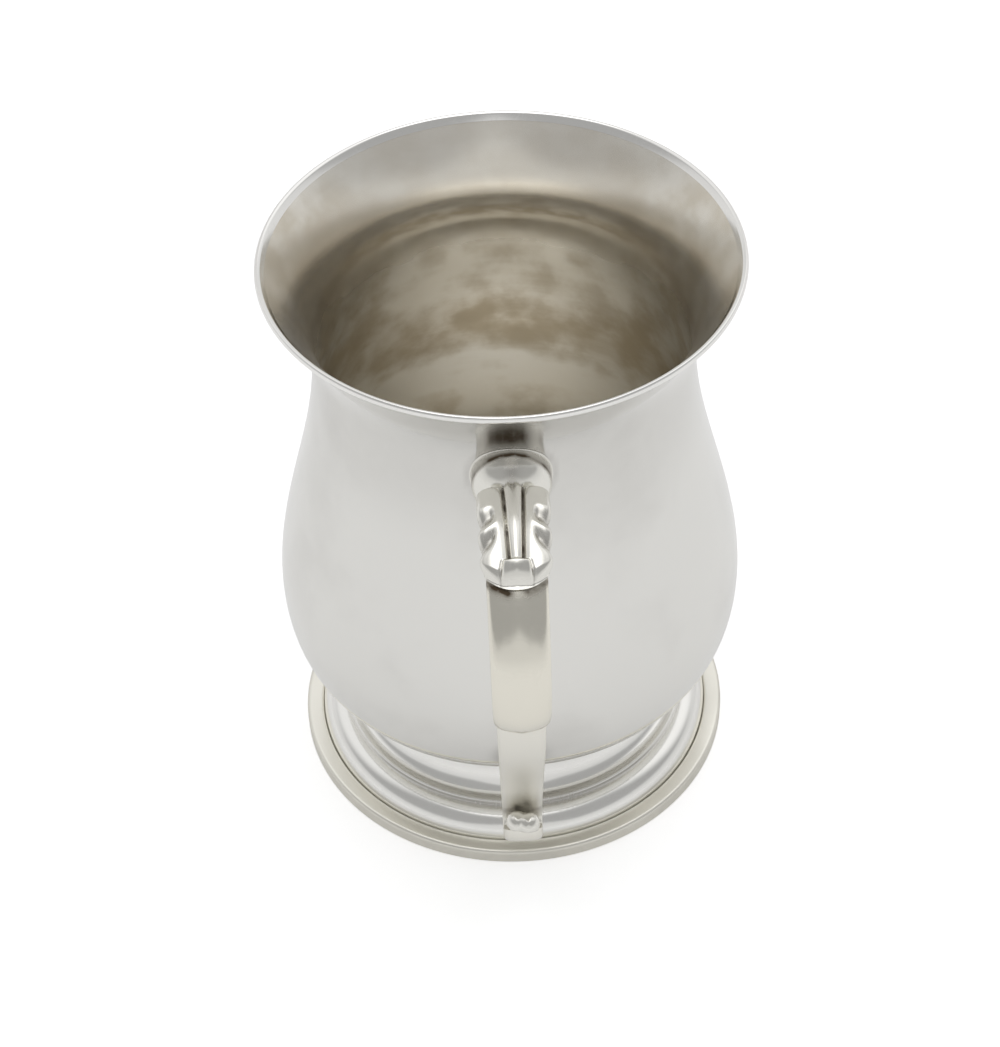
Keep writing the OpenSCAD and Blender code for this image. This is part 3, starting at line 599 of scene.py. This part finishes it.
def make_upper_socket(material):
    """A drum on the neck: a domed front, a solder fillet at its foot and a bore for the scroll's root."""
    phi = turn_angles(DRUM_AROUND)

    def ring(radius, u=None, lift=0.0):
        x, z = radius * np.sin(phi), SOCKET_Z + radius * np.cos(phi)
        if u is None:
            u = np.sqrt(body_radius(z) ** 2 - x**2) + SEAM + lift
        return np.stack([x, -u * np.ones_like(x), z], -1)

    rows = [ring(r) for r in np.linspace(BORE, SOCKET_R + SOCKET_FILLET, SEAT_POINTS)]
    for a in np.radians(np.linspace(0, 90, FILLET_POINTS)[1:]):
        lift = SOCKET_FILLET * (1 - math.cos(a))
        rows.append(ring(SOCKET_R + SOCKET_FILLET * (1 - math.sin(a)), lift=lift))
    darkening = [DRUM_FOOT] * len(rows)
    # Painted shade in a band near the dome's outer edge
    for a in np.linspace(0, DOME_STOP, DOME_POINTS):
        rows.append(ring(SOCKET_R * math.cos(a), DOME_U + DOME_LEN * math.sin(a)))
        darkening.append(DOME_SHADE * bell(a / DOME_STOP - DOME_SHADE_AT, DOME_SHADE_HALF))
    rows.append(ring(BORE, ROOT_U - TENON_LEN - SEAM))
    darkening.append(DRUM_BORE)
    # Painted shade: every ring darker on top, under the lip, than below
    top_shade = mix(DRUM_SHADE_BELOW, 1, np.clip(np.cos(phi), 0, 1))
    points, faces = np.vstack(rows), tube_faces(len(rows), DRUM_AROUND)
    # Painted reflection: a dark streak down the middle of the drum's top half
    reflection_streak = DOME_REFLECTION * bell(points[:, 0], DOME_REFLECTION_HALF) * (points[:, 2] > SOCKET_Z)
    make_piece("tankard_upper_socket", points, faces, (material,), ("upper_socket",),
               crease=CAST_CREASE, values=np.maximum(np.concatenate([t * top_shade for t in darkening]), reflection_streak))


def make_lower_socket(material):
    """A waisted boss between the belly and the back of the lower scroll."""
    out = left_of(-STRAIGHT_DIR)
    phi = turn_angles(BOSS_AROUND)
    rows = []
    for f in np.linspace(0, 1, BOSS_POINTS):
        radius = BOSS_R - BOSS_WAIST * math.sin(math.pi * f)
        x, z = radius * np.sin(phi), BOSS_Z + radius * np.cos(phi)
        belly = np.sqrt(body_radius(z) ** 2 - x**2) + SEAM
        back = STRAIGHT_END[0] - ((z - STRAIGHT_END[1]) * out[1] + TAIL_T / 2 + CAST_SEAM) / out[0]
        rows.append(np.stack([x, -mix(belly, back, f), z], -1))
    make_piece("tankard_lower_socket", np.vstack(rows), tube_faces(len(rows), BOSS_AROUND), (material,),
               ("lower_socket",), crease=CAST_CREASE)


def make_tail_pellet(material):
    """Two merged beads on the tail's end, one hanging lower, flat where they meet the tail."""
    place, direction, _ = tail_end(1.0)
    count, rings = PELLET_AROUND, PELLET_POINTS
    centres = np.array([(-PELLET_APART, 0.0, 0.0), (PELLET_APART, -PELLET_DROOP, 0.0)]) * PELLET_R
    theta = np.linspace(0, math.pi, rings + 2)[1:-1, None]
    phi = turn_angles(count)[None, :]
    rays = np.stack([np.cos(theta) + 0 * phi, np.sin(theta) * np.cos(phi), np.sin(theta) * np.sin(phi)], -1)
    rays = np.vstack([rays.reshape(-1, 3), [(1, 0, 0), (-1, 0, 0)]])
    reach = []
    for c in centres:
        along = rays @ c
        reach.append(along + np.sqrt(along**2 - c @ c + PELLET_R**2))
    radius = np.log(np.exp(PELLET_MERGE * reach[0]) + np.exp(PELLET_MERGE * reach[1])) / PELLET_MERGE
    local = rays * radius[:, None] + (0, 0, PELLET_OUT * PELLET_R)
    local[:, 2] = np.maximum(local[:, 2], SEAM)
    p = place + local[:, 1:2] * left_of(direction) + local[:, 2:3] * direction
    points = np.column_stack([local[:, 0], -p[:, 0], p[:, 1]])
    faces = grid_faces(rings, count, wrap=True)
    first, last = rings * count, rings * count + 1
    faces += [(first, (j + 1) % count, j) for j in range(count)]
    base = (rings - 1) * count
    faces += [(last, base + j, base + (j + 1) % count) for j in range(count)]
    make_piece("tankard_tail_pellet", points, faces, (material,), ("tail_pellet",),
               crease=BEAD_CREASE)


# Leaf
def leaf_end(a):
    """Where the leaf ends, as a share of its length: farthest in the middle, bowed back to the sides."""
    return 1 - END_BOW * a**BOW_POWER


def fall(run, crest, foot, power):
    """A front face: 1 up to its crest, then down to 0 at its foot."""
    return 1 - np.clip((run - crest) / (foot - crest), 0, 1) ** power


def leaf_height(run, end, x, carved):
    """Height of the leaf's face, and its painted shade, at run millimetres from the root and x from the
    middle.
    """
    rib_half = mix(RIB_HALF_ROOT, RIB_HALF_TIP, np.clip(run / TONGUE_START, 0, 1))
    channel = bell(x, CHANNEL_HALF) * (1 - smooth(run / CHANNEL_LEN))
    rib = RIB_HEIGHT * np.sqrt(np.clip(1 - (x / (RIB_SPREAD * rib_half)) ** 2, 0, 1))
    rib = rib - CHANNEL_DEPTH * channel
    inner = rib_half + GROOVE_OUT
    groove = bell(x - inner, GROOVE_HALF) * carved
    valley = np.zeros_like(x)
    for start, slope in VALLEYS:
        valley = np.maximum(valley, bell(run - start - slope * (x - VALLEY_FROM), VALLEY_HALF))
    valley = valley * smooth((x - VALLEY_IN) / VALLEY_SOFT)
    across = np.abs((2 * x - inner - LOBE_EDGE) / (LOBE_EDGE - inner))
    lobe = LOBE_HEIGHT * np.sqrt(np.clip(1 - across**LOBE_POWER, 0, 1)) * (1 - VALLEY_DEPTH * valley)
    lobe = lobe * fall(run, end - FRONT_LEN, end - FRONT_LIP, FRONT_POWER)
    face = np.where(x < inner, rib, lobe) * (1 - GROOVE_CUT * groove)
    on_front = smooth((run - TONGUE_START) / TONGUE_RISE)
    tongue = TONGUE_HEIGHT * fall(run, TONGUE_START + TONGUE_RISE, LEAF_LEN - TONGUE_LIP, TONGUE_POWER)
    tongue = tongue * np.sqrt(np.clip(1 - (x / TONGUE_ROUND) ** 2, 0, 1))
    down = np.clip((run - TONGUE_START) / (LEAF_LEN - TONGUE_START), 0, 1)
    half = mix(TONGUE_TOP_HALF, TONGUE_END_HALF, down)
    face = mix(face, tongue, smooth((half - x + TONGUE_SOFT / 2) / TONGUE_SOFT) * on_front)
    # Painted shade in the groove, channel and valleys, and along the tongue's sides
    line = TONGUE_LINE * bell(x - half - TONGUE_LINE_OUT, TONGUE_LINE_HALF) * on_front
    tarnish_and_shade = np.maximum.reduce([GROOVE_SHADE * groove * (1 - on_front), CHANNEL_SHADE * channel,
                                VALLEY_SHADE * valley, line])
    return np.maximum(face * (1 - line), 0.0), tarnish_and_shade


def leaf_grid():
    """Run, end of the leaf, share of the half width, and section angle of each point of the leaf."""
    v = np.linspace(-1, 1, LEAF_COLS)[None, :] * np.ones((LEAF_ROWS, 1))
    end = LEAF_LEN * leaf_end(np.abs(v))
    run = mix(-LEAF_BACK, end, np.linspace(0, 1, LEAF_ROWS)[:, None])
    reach = np.ones_like(run)
    for at, half, depth in NOTCHES:
        reach -= depth * bell(run - at, half)
    dense = np.radians(np.linspace(0, 90, SECTION_POINTS))
    flat = sweep_section((SCROLL_W / 2, SCROLL_T / 2, SCROLL_T / 2, 1.0, RIDGE), dense)
    length = np.concatenate([[0], np.cumsum(np.linalg.norm(np.diff(flat, axis=0), axis=1))])
    angle = np.interp(np.abs(v) * reach * length[-1], length, dense) * np.sign(v)
    return run, end, v, angle


def clear_of_dome(points):
    """Points pushed out to the drum's domed front where they lie behind it."""
    radius = np.clip(np.hypot(points[..., 0], points[..., 2] - SOCKET_Z), BORE, SOCKET_R)
    front = DOME_U + DOME_LEN * np.sqrt(1 - (radius / SOCKET_R) ** 2) + CAST_SEAM
    points[..., 1] = np.minimum(points[..., 1], -front)
    return points


def make_leaf(material):
    """A thin shell over the main scroll: a grid of points on its face and the same grid on the scroll."""
    rows, cols = LEAF_ROWS, LEAF_COLS
    run, end, v, angle = leaf_grid()
    t = np.interp(run, OVER_RUN, OVER_T)
    direction = bezier_dir(OVER, t)
    place = bezier(OVER, t) + np.minimum(run, 0)[..., None] * unit(ROOT_PULL)
    half = main_width(t) / 2
    x = half * np.abs(np.sin(angle)) ** SIDE_POWER
    carved = 1 - GROOVE_FADE * (v < 0) * bell(run - GROOVE_FADE_AT, GROOVE_FADE_HALF)
    height, tarnish_and_shade = leaf_height(run, end, x, carved)
    rise = np.clip((run - ROOT_STEP - ROOT_BOW * v**2) / ROOT_SOFT, 0, 1)
    height = height * np.sqrt(1 - (1 - rise) ** 2)
    edge = np.clip((np.abs(v) - LEAF_THIN_FROM) / (1 - LEAF_THIN_FROM), 0, 1)
    height = height * np.sqrt(1 - edge**2) + LEAF_EDGE_T
    lift = LEAF_LIFT * np.clip((run / LEAF_LEN - LEAF_LIFT_FROM) / (1 - LEAF_LIFT_FROM), 0, 1) ** 2
    sheets = []
    for grown in (CAST_SEAM + height, np.full_like(height, CAST_SEAM)):
        section = (half + grown, SCROLL_T / 2 + grown, SCROLL_T / 2 + grown, 1.0, RIDGE)
        flat = sweep_section(section, angle)
        flat[..., 1] += lift
        sheets.append(clear_of_dome(placed(place, direction, flat)).reshape(-1, 3))
    under = rows * cols
    faces = grid_faces(rows, cols) + [f[::-1] for f in grid_faces(rows, cols, start=under)]
    loop = list(range(cols)) + [i * cols + cols - 1 for i in range(1, rows)]
    loop += [(rows - 1) * cols + j for j in range(cols - 2, -1, -1)]
    loop += [i * cols for i in range(rows - 2, 0, -1)]
    faces += [(a, b, under + b, under + a) for a, b in zip(loop, loop[1:] + loop[:1])]
    make_piece("tankard_leaf_cap", np.vstack(sheets), faces, (material,), ("leaf_cap",),
               crease=BEAD_CREASE, values=np.concatenate([tarnish_and_shade.ravel(), np.zeros(under)]))


# Shader nodes
def new_material(name):
    material = bpy.data.materials.new(name)
    material.use_nodes = True
    tree = material.node_tree
    return material, tree, tree.nodes["Principled BSDF"]


def add(tree, kind, inputs, **settings):
    """A shader node with its settings, and its inputs set to values or linked to other nodes' outputs."""
    made = tree.nodes.new("ShaderNode" + kind)
    for key, value in settings.items():
        setattr(made, key, value)
    for key, value in inputs.items():
        if isinstance(value, bpy.types.NodeSocket):
            tree.links.new(value, made.inputs[key])
        else:
            made.inputs[key].default_value = value
    return made


def math_node(tree, operation, *values, clamp=False):
    made = add(tree, "Math", dict(enumerate(values)), operation=operation, use_clamp=clamp)
    return made.outputs[0]


def between(tree, factor, a, b):
    """Value between a and b."""
    return add(tree, "Mix", {0: factor, "A": a, "B": b}).outputs[0]


def blend(tree, factor, a, b):
    """Colour between a and b, each a colour or a socket."""
    ends = {6: a if hasattr(a, "links") else (*a, 1), 7: b if hasattr(b, "links") else (*b, 1)}
    return add(tree, "Mix", {0: factor, **ends}, data_type="RGBA").outputs[2]


def ramp(tree, value, start, stop, low=0.0, high=1.0, shape="SMOOTHSTEP"):
    """A step from low to high while the value goes from start to stop."""
    made = add(tree, "MapRange", {
        "Value": value, "From Min": start, "From Max": stop, "To Min": low, "To Max": high,
    }, interpolation_type=shape)
    return made.outputs["Result"]


def noise(tree, coords, cells, stretch=(1, 1, 1), detail=3.0, low=0.35, high=0.65):
    """A noise from 0 to 1 with about this many cells a metre, times stretch along each axis."""
    spread = add(tree, "Mapping", {"Vector": coords, "Scale": stretch})
    texture = add(tree, "TexNoise", {"Vector": spread.outputs[0], "Scale": cells, "Detail": detail})
    return ramp(tree, texture.outputs[0], low, high)


def scratches(tree, coords, cells, turn):
    """Thin long marks: where a drawn-out noise crosses its middle."""
    spread = add(tree, "Mapping", {"Vector": coords, "Scale": (1.0, 1.0, SCRATCH_ALONG), "Rotation": turn})
    texture = add(tree, "TexNoise", {"Vector": spread.outputs[0], "Scale": cells, "Detail": 1.0})
    off = math_node(tree, "ABSOLUTE", math_node(tree, "SUBTRACT", texture.outputs[0], NOISE_MIDDLE))
    return ramp(tree, off, 0.0, SCRATCH_HALF, 1.0, 0.0, shape="LINEAR")


# Light, floor and camera
def make_camera():
    z = Vector((0, 0, 1))
    place = Vector((0, -CAMERA_DISTANCE * math.cos(CAMERA_ELEVATION),
                    CAMERA_AIM_Z + CAMERA_DISTANCE * math.sin(CAMERA_ELEVATION)))
    ahead = Vector((0, math.cos(CAMERA_ELEVATION), -math.sin(CAMERA_ELEVATION)))
    right = Vector((1, 0, 0))
    up = right.cross(ahead)
    pan = Matrix.Rotation(CAMERA_PAN, 3, up)
    ahead, right = pan @ ahead, pan @ right
    tilt = Matrix.Rotation(CAMERA_TILT, 3, right)
    ahead, up = tilt @ ahead, tilt @ up
    rolled_right = math.cos(CAMERA_ROLL) * right + math.sin(CAMERA_ROLL) * up
    rolled_up = -math.sin(CAMERA_ROLL) * right + math.cos(CAMERA_ROLL) * up
    turn = Matrix.Rotation(CAMERA_AZIMUTH, 3, z)
    axes = Matrix((turn @ rolled_right, turn @ rolled_up, turn @ -ahead)).transposed()
    data = bpy.data.cameras.new("camera")
    data.sensor_width = SENSOR
    data.lens = SENSOR * FOCAL_PX / PHOTO_H
    camera = bpy.data.objects.new("camera", data)
    camera.matrix_world = Matrix.Translation(turn @ place * MM) @ axes.to_4x4()
    bpy.context.scene.collection.objects.link(camera)
    bpy.context.scene.camera = camera


def make_floor():
    """A pale floor that glows a little to the camera, and less in the silver."""
    bpy.ops.mesh.primitive_plane_add(size=FLOOR_SIZE, location=(0, 0, -FLOOR_DROP))
    floor = bpy.context.object
    floor.name = "floor"
    material, tree, shader = new_material("white_floor")
    shader.inputs["Base Color"].default_value = FLOOR_COLOUR
    shader.inputs["Roughness"].default_value = FLOOR_ROUGH
    shader.inputs["Specular IOR Level"].default_value = 0.0
    shader.inputs["Emission Color"].default_value = WHITE
    path = add(tree, "LightPath", {})
    mirrored = math_node(tree, "MULTIPLY", path.outputs["Is Glossy Ray"], FLOOR_MIRRORED)
    glow = math_node(tree, "MULTIPLY_ADD", path.outputs["Is Camera Ray"], FLOOR_SEEN, mirrored)
    tree.links.new(glow, shader.inputs["Emission Strength"])
    floor.data.materials.append(material)


def make_world():
    """A pale tent with a dim ceiling and soft lamps, plain white to the camera itself."""
    world = bpy.data.worlds.new("tent")
    bpy.context.scene.world = world
    world.use_nodes = True
    tree = world.node_tree
    background = tree.nodes["Background"]
    background.inputs["Color"].default_value = WHITE
    sight = add(tree, "TexCoord", {}).outputs["Generated"]
    axes = add(tree, "SeparateXYZ", {0: sight}).outputs
    aside = math_node(tree, "MINIMUM", math_node(tree, "ABSOLUTE", axes["X"]), FALL_LIMIT)
    rise = math_node(tree, "MULTIPLY_ADD", aside, WALL_FALL, axes["Z"])
    wall_top, ceiling_from = math.sin(math.radians(WALL_TOP)), math.sin(math.radians(CEILING_FROM))
    total = ramp(tree, rise, wall_top, ceiling_from, WALL_LEVEL, CEILING_LEVEL)
    total = math_node(tree, "ADD", total, ramp(tree, axes["Z"], 0.0, GLOW_TOP, GLOW_LEVEL, 0.0))
    for azimuth, elevation, inner, outer, level in LAMPS:
        a, e = math.radians(azimuth), math.radians(elevation)
        towards = (math.sin(a) * math.cos(e), -math.cos(a) * math.cos(e), math.sin(e))
        dot = add(tree, "VectorMath", {0: sight, 1: towards}, operation="DOT_PRODUCT").outputs["Value"]
        patch = ramp(tree, dot, math.cos(math.radians(outer)), math.cos(math.radians(inner)), 0.0, level)
        total = math_node(tree, "ADD", total, patch)
    path = add(tree, "LightPath", {})
    tree.links.new(between(tree, path.outputs["Is Camera Ray"], total, 1.0), background.inputs["Strength"])


# Materials
def silver_material(name, clean, rough, dull):
    """Handled silver: brown where each point's tarnish and painted shade lies, faintly clouded, with
    polishing marks round the axis and fine scratches."""
    material, tree, shader = new_material(name)
    coords = add(tree, "TexCoord", {}).outputs["Object"]
    tarnish_and_shade = add(tree, "Attribute", {}, attribute_name="tarnish_and_shade").outputs["Fac"]
    cloud = noise(tree, coords, cells=38.0, detail=4.0, low=0.45, high=0.75)
    grain = noise(tree, coords, cells=420.0, detail=5.0)
    polish = noise(tree, coords, cells=14.0, stretch=(1, 1, RING_ACROSS), detail=2.0, low=0.2, high=0.8)
    marks = math_node(tree, "MAXIMUM", *[scratches(tree, coords, cells, turn) for cells, turn in SCRATCHES])
    uneven = math_node(tree, "MULTIPLY_ADD", grain, GRAIN_SHARE, -GRAIN_SHARE / 2)
    # Each point's tarnish and painted shade, with the cloud, turns the silver towards brown and roughens it
    darkness = math_node(tree, "MULTIPLY", tarnish_and_shade, math_node(tree, "MULTIPLY_ADD", tarnish_and_shade, uneven, 1.0))
    darkness = math_node(tree, "MULTIPLY_ADD", cloud, dull, darkness, clamp=True)
    tree.links.new(blend(tree, darkness, clean, TARNISH_SHADE_BROWN), shader.inputs["Base Color"])
    shader.inputs["Metallic"].default_value = 1.0
    roughness = rough
    for mark, share in ((darkness, DARK_ROUGH), (polish, POLISH_ROUGH), (marks, MARK_ROUGH)):
        roughness = math_node(tree, "MULTIPLY_ADD", mark, share, roughness)
    tree.links.new(roughness, shader.inputs["Roughness"])
    fine = add(tree, "Bump", {"Height": polish, "Strength": POLISH_BUMP, "Distance": POLISH_DEPTH})
    cut = add(tree, "Bump", {
        "Height": marks, "Strength": MARK_BUMP, "Distance": MARK_DEPTH, "Normal": fine.outputs[0],
    })
    tree.links.new(cut.outputs[0], shader.inputs["Normal"])
    return material


def inner_material(name):
    """The unpolished inside: a blotchy brown patina with rings of brushing, brighter up the flare, with
    painted light that makes it paler deep down and painted shade that darkens the flare towards its sides.
    """
    material, tree, shader = new_material(name)
    coords = add(tree, "TexCoord", {}).outputs["Object"]
    axes = add(tree, "SeparateXYZ", {0: coords}).outputs
    height = axes["Z"]
    deep = ramp(tree, height, DEEP_FROM, DEEP_TO)
    lip = ramp(tree, height, LIP_FROM, LIP_TO)
    # Painted shade at the flare's left and right sides
    side = ramp(tree, math_node(tree, "ABSOLUTE", axes["X"]), SIDE_FROM, SIDE_TO, 1.0, 1.0 - FLARE_SIDE_SHADE)
    flare = math_node(tree, "MULTIPLY", ramp(tree, height, FLARE_FROM, FLARE_TO), side)
    blotch = noise(tree, coords, cells=45.0, detail=5.0, low=0.3, high=0.7)
    spots = noise(tree, coords, cells=120.0, detail=6.0, low=0.3, high=0.7)
    cloud = noise(tree, coords, cells=24.0, detail=3.0, low=0.25, high=0.75)
    rings = noise(tree, coords, cells=9.0, stretch=(1, 1, RING_ACROSS), detail=2.0, low=0.2, high=0.8)
    tide = math_node(tree, "MULTIPLY_ADD", height, 2 * math.pi / TIDE_STEP, TIDE_PHASE)
    tide = math_node(tree, "SINE", tide)
    pale = 0.0
    for pattern, share in ((blotch, BLOTCH_SHARE), (spots, SPOTS_SHARE), (cloud, CLOUD_SHARE),
                           # The deep part's share is painted light: the patina paler deep down
                           (rings, RINGS_SHARE), (tide, TIDE_SHARE), (deep, DEEP_LIGHTENING)):
        pale = math_node(tree, "MULTIPLY_ADD", pattern, share, pale)
    patina = blend(tree, ramp(tree, pale, PALE_FROM, PALE_TO), PATINA_DARK, PATINA_PALE)
    colour = blend(tree, math_node(tree, "MULTIPLY", flare, FLARE_COVER), patina, PATINA_FLARE)
    tree.links.new(colour, shader.inputs["Base Color"])
    tree.links.new(between(tree, flare, PATINA_METAL, FLARE_METAL), shader.inputs["Metallic"])
    shader.inputs["Specular IOR Level"].default_value = INNER_SPECULAR
    roughness = math_node(tree, "MULTIPLY_ADD", spots, -SPOTS_SMOOTH, PATINA_ROUGH)
    for place, rough in ((deep, DEEP_ROUGH), (flare, FLARE_ROUGH), (lip, LIP_ROUGH)):
        roughness = between(tree, place, roughness, rough)
    tree.links.new(roughness, shader.inputs["Roughness"])
    brushed = add(tree, "Bump", {"Height": rings, "Strength": RINGS_BUMP, "Distance": RINGS_DEPTH})
    tree.links.new(brushed.outputs[0], shader.inputs["Normal"])
    return material


silvers = {name: silver_material(name, *kind) for name, kind in SILVERS.items()}
make_body(silvers["polished_silver"], inner_material("inner_silver"))
make_rim_wire(silvers["bright_silver"])
make_foot(silvers["soft_silver"])
make_foot_rim(silvers["rim_silver"])
make_main_scroll(silvers["warm_silver"])
make_lower_scroll(silvers["worn_silver"])
make_upper_socket(silvers["satin_silver"])
make_leaf(silvers["satin_silver"])
make_lower_socket(silvers["polished_silver"])
make_tail_pellet(silvers["satin_silver"])
make_camera()
make_floor()
make_world()

bpy.context.scene.view_settings.view_transform = "Standard"
